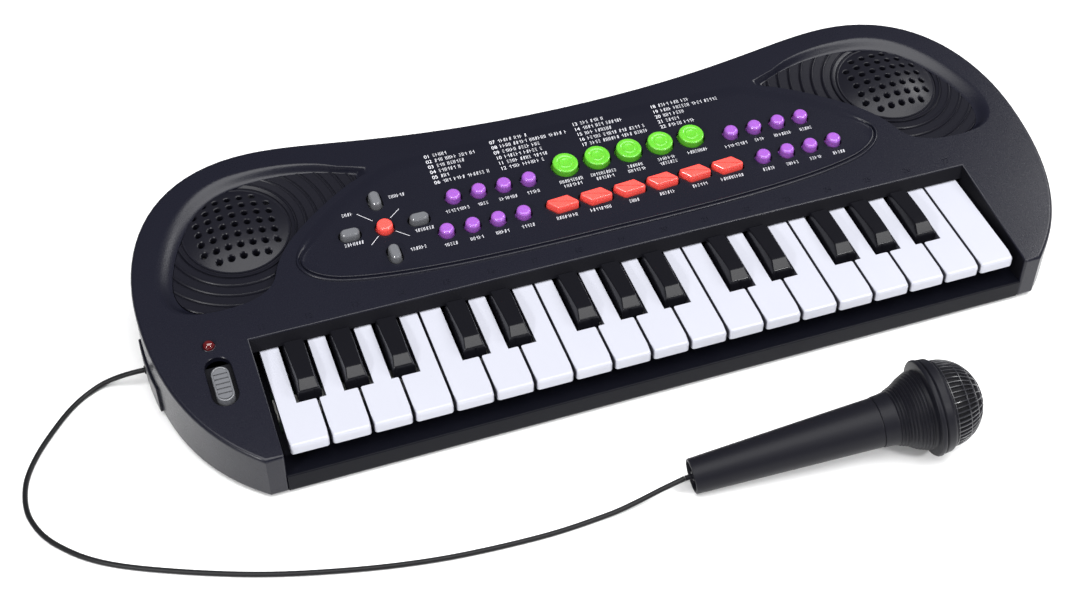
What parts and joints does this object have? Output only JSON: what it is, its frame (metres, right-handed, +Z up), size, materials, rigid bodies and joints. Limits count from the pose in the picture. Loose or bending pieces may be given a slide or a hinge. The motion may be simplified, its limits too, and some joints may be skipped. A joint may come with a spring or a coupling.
{
  "type": "toy electronic keyboard",
  "caption": "Battery toy keyboard with hinged piano keys, coloured buttons and round speakers in a waisted dark case, and a wired toy microphone.",
  "frame": {"origin": "on the floor, under the middle of the box that the keyboard and its microphone fill together", "axes": "+X along the keys to the treble end, +Y to the back of the keyboard, +Z up"},
  "size_m": [0.5663, 0.2828, 0.0575],
  "materials": {
    "case": "fine moulded texture",
    "case_base": "moulded",
    "grille": "moulded, satin",
    "battery_wrap": "printed film",
    "spring_steel": "bright",
    "screw_steel": "zinc plated",
    "speaker_steel": "plated",
    "speaker_paper": "black pulp",
    "circuit_board": "solder mask",
    "contact_rubber": "moulded",
    "led_lens": "clear red",
    "green_pad": "satin",
    "red_button": "satin",
    "purple_button": "satin",
    "grey_button": "satin",
    "white_key": "satin",
    "black_key": "glossy",
    "mic_plastic": "satin",
    "capsule": "plated",
    "cable": "satin jacket"
  },
  "bodies": {
    "root": {"upper_case": "case", "lower_case": "case_base", "battery_door": "case_base", "batteries": "battery_wrap", "battery_contacts": "spring_steel", "case_screws": "screw_steel", "speaker_grilles": "grille", "speaker_frames": "speaker_steel", "speaker_cones": "speaker_paper", "key_hinge_frame": "case_base", "key_pivot_rod": "spring_steel", "key_contact_board": "circuit_board", "contact_rubber": "contact_rubber", "main_board": "circuit_board", "power_led": "led_lens", "cord_strain_relief": "cable", "mic_cable": "cable"},
    "drum_pads": {"drum_pads": "green_pad"},
    "function_buttons": {"function_buttons": "red_button"},
    "rhythm_buttons": {"rhythm_buttons": "purple_button"},
    "tone_buttons": {"tone_buttons": "purple_button"},
    "tempo_volume_buttons": {"tempo_volume_buttons": "grey_button"},
    "stop_button": {"stop_button": "red_button"},
    "power_switch_knob": {"power_switch_knob": "grey_button"},
    "microphone": {"mic_handle": "mic_plastic", "mic_head": "mic_plastic", "mic_grille": "mic_plastic", "mic_capsule": "capsule"},
    "key_f3": {"key_f3": "white_key"},
    "key_g3": {"key_g3": "white_key"},
    "key_a3": {"key_a3": "white_key"},
    "key_b3": {"key_b3": "white_key"},
    "key_c4": {"key_c4": "white_key"},
    "key_d4": {"key_d4": "white_key"},
    "key_e4": {"key_e4": "white_key"},
    "key_f4": {"key_f4": "white_key"},
    "key_g4": {"key_g4": "white_key"},
    "key_a4": {"key_a4": "white_key"},
    "key_b4": {"key_b4": "white_key"},
    "key_c5": {"key_c5": "white_key"},
    "key_d5": {"key_d5": "white_key"},
    "key_e5": {"key_e5": "white_key"},
    "key_f5": {"key_f5": "white_key"},
    "key_g5": {"key_g5": "white_key"},
    "key_a5": {"key_a5": "white_key"},
    "key_b5": {"key_b5": "white_key"},
    "key_c6": {"key_c6": "white_key"},
    "key_f3_sharp": {"key_f3_sharp": "black_key"},
    "key_g3_sharp": {"key_g3_sharp": "black_key"},
    "key_a3_sharp": {"key_a3_sharp": "black_key"},
    "key_c4_sharp": {"key_c4_sharp": "black_key"},
    "key_d4_sharp": {"key_d4_sharp": "black_key"},
    "key_f4_sharp": {"key_f4_sharp": "black_key"},
    "key_g4_sharp": {"key_g4_sharp": "black_key"},
    "key_a4_sharp": {"key_a4_sharp": "black_key"},
    "key_c5_sharp": {"key_c5_sharp": "black_key"},
    "key_d5_sharp": {"key_d5_sharp": "black_key"},
    "key_f5_sharp": {"key_f5_sharp": "black_key"},
    "key_g5_sharp": {"key_g5_sharp": "black_key"},
    "key_a5_sharp": {"key_a5_sharp": "black_key"}
  },
  "joints": [
    {"name": "drum_pads_press", "type": "slide", "parent": "root", "child": "drum_pads", "axis": [0, 0.1564, -0.9877], "range_m": [0, 0.0013], "stiffness_N_per_m": 600, "springref_m": -0.001},
    {"name": "function_buttons_press", "type": "slide", "parent": "root", "child": "function_buttons", "axis": [0, 0.1564, -0.9877], "range_m": [0, 0.0012], "stiffness_N_per_m": 600, "springref_m": -0.001},
    {"name": "rhythm_buttons_press", "type": "slide", "parent": "root", "child": "rhythm_buttons", "axis": [0, 0.1564, -0.9877], "range_m": [0, 0.0012], "stiffness_N_per_m": 600, "springref_m": -0.001},
    {"name": "tone_buttons_press", "type": "slide", "parent": "root", "child": "tone_buttons", "axis": [0, 0.1564, -0.9877], "range_m": [0, 0.0012], "stiffness_N_per_m": 600, "springref_m": -0.001},
    {"name": "tempo_volume_buttons_press", "type": "slide", "parent": "root", "child": "tempo_volume_buttons", "axis": [0, 0.1564, -0.9877], "range_m": [0, 0.0012], "stiffness_N_per_m": 500, "springref_m": -0.001},
    {"name": "stop_button_press", "type": "slide", "parent": "root", "child": "stop_button", "axis": [0, 0.1564, -0.9877], "range_m": [0, 0.0012], "stiffness_N_per_m": 300, "springref_m": -0.001},
    {"name": "power_switch_slide", "type": "slide", "parent": "root", "child": "power_switch_knob", "axis": [0, 0.9877, 0.1564], "range_m": [0, 0.0065]},
    {"name": "microphone_lift", "type": "slide", "parent": "root", "child": "microphone", "axis": [0, 0, 1], "range_m": [0, 0.12]},
    {"name": "key_f3_press", "type": "hinge", "parent": "root", "child": "key_f3", "pos_m": [0, 0.0384, 0.027], "axis": [1, 0, 0], "range_deg": [0, 2.8], "stiffness_Nm_per_rad": 0.3, "springref_deg": -5.73},
    {"name": "key_g3_press", "type": "hinge", "parent": "root", "child": "key_g3", "pos_m": [0, 0.0384, 0.027], "axis": [1, 0, 0], "range_deg": [0, 2.8], "stiffness_Nm_per_rad": 0.3, "springref_deg": -5.73},
    {"name": "key_a3_press", "type": "hinge", "parent": "root", "child": "key_a3", "pos_m": [0, 0.0384, 0.027], "axis": [1, 0, 0], "range_deg": [0, 2.8], "stiffness_Nm_per_rad": 0.3, "springref_deg": -5.73},
    {"name": "key_b3_press", "type": "hinge", "parent": "root", "child": "key_b3", "pos_m": [0, 0.0384, 0.027], "axis": [1, 0, 0], "range_deg": [0, 2.8], "stiffness_Nm_per_rad": 0.3, "springref_deg": -5.73},
    {"name": "key_c4_press", "type": "hinge", "parent": "root", "child": "key_c4", "pos_m": [0, 0.0384, 0.027], "axis": [1, 0, 0], "range_deg": [0, 2.8], "stiffness_Nm_per_rad": 0.3, "springref_deg": -5.73},
    {"name": "key_d4_press", "type": "hinge", "parent": "root", "child": "key_d4", "pos_m": [0, 0.0384, 0.027], "axis": [1, 0, 0], "range_deg": [0, 2.8], "stiffness_Nm_per_rad": 0.3, "springref_deg": -5.73},
    {"name": "key_e4_press", "type": "hinge", "parent": "root", "child": "key_e4", "pos_m": [0, 0.0384, 0.027], "axis": [1, 0, 0], "range_deg": [0, 2.8], "stiffness_Nm_per_rad": 0.3, "springref_deg": -5.73},
    {"name": "key_f4_press", "type": "hinge", "parent": "root", "child": "key_f4", "pos_m": [0, 0.0384, 0.027], "axis": [1, 0, 0], "range_deg": [0, 2.8], "stiffness_Nm_per_rad": 0.3, "springref_deg": -5.73},
    {"name": "key_g4_press", "type": "hinge", "parent": "root", "child": "key_g4", "pos_m": [0, 0.0384, 0.027], "axis": [1, 0, 0], "range_deg": [0, 2.8], "stiffness_Nm_per_rad": 0.3, "springref_deg": -5.73},
    {"name": "key_a4_press", "type": "hinge", "parent": "root", "child": "key_a4", "pos_m": [0, 0.0384, 0.027], "axis": [1, 0, 0], "range_deg": [0, 2.8], "stiffness_Nm_per_rad": 0.3, "springref_deg": -5.73},
    {"name": "key_b4_press", "type": "hinge", "parent": "root", "child": "key_b4", "pos_m": [0, 0.0384, 0.027], "axis": [1, 0, 0], "range_deg": [0, 2.8], "stiffness_Nm_per_rad": 0.3, "springref_deg": -5.73},
    {"name": "key_c5_press", "type": "hinge", "parent": "root", "child": "key_c5", "pos_m": [0, 0.0384, 0.027], "axis": [1, 0, 0], "range_deg": [0, 2.8], "stiffness_Nm_per_rad": 0.3, "springref_deg": -5.73},
    {"name": "key_d5_press", "type": "hinge", "parent": "root", "child": "key_d5", "pos_m": [0, 0.0384, 0.027], "axis": [1, 0, 0], "range_deg": [0, 2.8], "stiffness_Nm_per_rad": 0.3, "springref_deg": -5.73},
    {"name": "key_e5_press", "type": "hinge", "parent": "root", "child": "key_e5", "pos_m": [0, 0.0384, 0.027], "axis": [1, 0, 0], "range_deg": [0, 2.8], "stiffness_Nm_per_rad": 0.3, "springref_deg": -5.73},
    {"name": "key_f5_press", "type": "hinge", "parent": "root", "child": "key_f5", "pos_m": [0, 0.0384, 0.027], "axis": [1, 0, 0], "range_deg": [0, 2.8], "stiffness_Nm_per_rad": 0.3, "springref_deg": -5.73},
    {"name": "key_g5_press", "type": "hinge", "parent": "root", "child": "key_g5", "pos_m": [0, 0.0384, 0.027], "axis": [1, 0, 0], "range_deg": [0, 2.8], "stiffness_Nm_per_rad": 0.3, "springref_deg": -5.73},
    {"name": "key_a5_press", "type": "hinge", "parent": "root", "child": "key_a5", "pos_m": [0, 0.0384, 0.027], "axis": [1, 0, 0], "range_deg": [0, 2.8], "stiffness_Nm_per_rad": 0.3, "springref_deg": -5.73},
    {"name": "key_b5_press", "type": "hinge", "parent": "root", "child": "key_b5", "pos_m": [0, 0.0384, 0.027], "axis": [1, 0, 0], "range_deg": [0, 2.8], "stiffness_Nm_per_rad": 0.3, "springref_deg": -5.73},
    {"name": "key_c6_press", "type": "hinge", "parent": "root", "child": "key_c6", "pos_m": [0, 0.0384, 0.027], "axis": [1, 0, 0], "range_deg": [0, 2.8], "stiffness_Nm_per_rad": 0.3, "springref_deg": -5.73},
    {"name": "key_f3_sharp_press", "type": "hinge", "parent": "root", "child": "key_f3_sharp", "pos_m": [0, 0.0384, 0.027], "axis": [1, 0, 0], "range_deg": [0, 2.8], "stiffness_Nm_per_rad": 0.3, "springref_deg": -5.73},
    {"name": "key_g3_sharp_press", "type": "hinge", "parent": "root", "child": "key_g3_sharp", "pos_m": [0, 0.0384, 0.027], "axis": [1, 0, 0], "range_deg": [0, 2.8], "stiffness_Nm_per_rad": 0.3, "springref_deg": -5.73},
    {"name": "key_a3_sharp_press", "type": "hinge", "parent": "root", "child": "key_a3_sharp", "pos_m": [0, 0.0384, 0.027], "axis": [1, 0, 0], "range_deg": [0, 2.8], "stiffness_Nm_per_rad": 0.3, "springref_deg": -5.73},
    {"name": "key_c4_sharp_press", "type": "hinge", "parent": "root", "child": "key_c4_sharp", "pos_m": [0, 0.0384, 0.027], "axis": [1, 0, 0], "range_deg": [0, 2.8], "stiffness_Nm_per_rad": 0.3, "springref_deg": -5.73},
    {"name": "key_d4_sharp_press", "type": "hinge", "parent": "root", "child": "key_d4_sharp", "pos_m": [0, 0.0384, 0.027], "axis": [1, 0, 0], "range_deg": [0, 2.8], "stiffness_Nm_per_rad": 0.3, "springref_deg": -5.73},
    {"name": "key_f4_sharp_press", "type": "hinge", "parent": "root", "child": "key_f4_sharp", "pos_m": [0, 0.0384, 0.027], "axis": [1, 0, 0], "range_deg": [0, 2.8], "stiffness_Nm_per_rad": 0.3, "springref_deg": -5.73},
    {"name": "key_g4_sharp_press", "type": "hinge", "parent": "root", "child": "key_g4_sharp", "pos_m": [0, 0.0384, 0.027], "axis": [1, 0, 0], "range_deg": [0, 2.8], "stiffness_Nm_per_rad": 0.3, "springref_deg": -5.73},
    {"name": "key_a4_sharp_press", "type": "hinge", "parent": "root", "child": "key_a4_sharp", "pos_m": [0, 0.0384, 0.027], "axis": [1, 0, 0], "range_deg": [0, 2.8], "stiffness_Nm_per_rad": 0.3, "springref_deg": -5.73},
    {"name": "key_c5_sharp_press", "type": "hinge", "parent": "root", "child": "key_c5_sharp", "pos_m": [0, 0.0384, 0.027], "axis": [1, 0, 0], "range_deg": [0, 2.8], "stiffness_Nm_per_rad": 0.3, "springref_deg": -5.73},
    {"name": "key_d5_sharp_press", "type": "hinge", "parent": "root", "child": "key_d5_sharp", "pos_m": [0, 0.0384, 0.027], "axis": [1, 0, 0], "range_deg": [0, 2.8], "stiffness_Nm_per_rad": 0.3, "springref_deg": -5.73},
    {"name": "key_f5_sharp_press", "type": "hinge", "parent": "root", "child": "key_f5_sharp", "pos_m": [0, 0.0384, 0.027], "axis": [1, 0, 0], "range_deg": [0, 2.8], "stiffness_Nm_per_rad": 0.3, "springref_deg": -5.73},
    {"name": "key_g5_sharp_press", "type": "hinge", "parent": "root", "child": "key_g5_sharp", "pos_m": [0, 0.0384, 0.027], "axis": [1, 0, 0], "range_deg": [0, 2.8], "stiffness_Nm_per_rad": 0.3, "springref_deg": -5.73},
    {"name": "key_a5_sharp_press", "type": "hinge", "parent": "root", "child": "key_a5_sharp", "pos_m": [0, 0.0384, 0.027], "axis": [1, 0, 0], "range_deg": [0, 2.8], "stiffness_Nm_per_rad": 0.3, "springref_deg": -5.73}
  ]
}
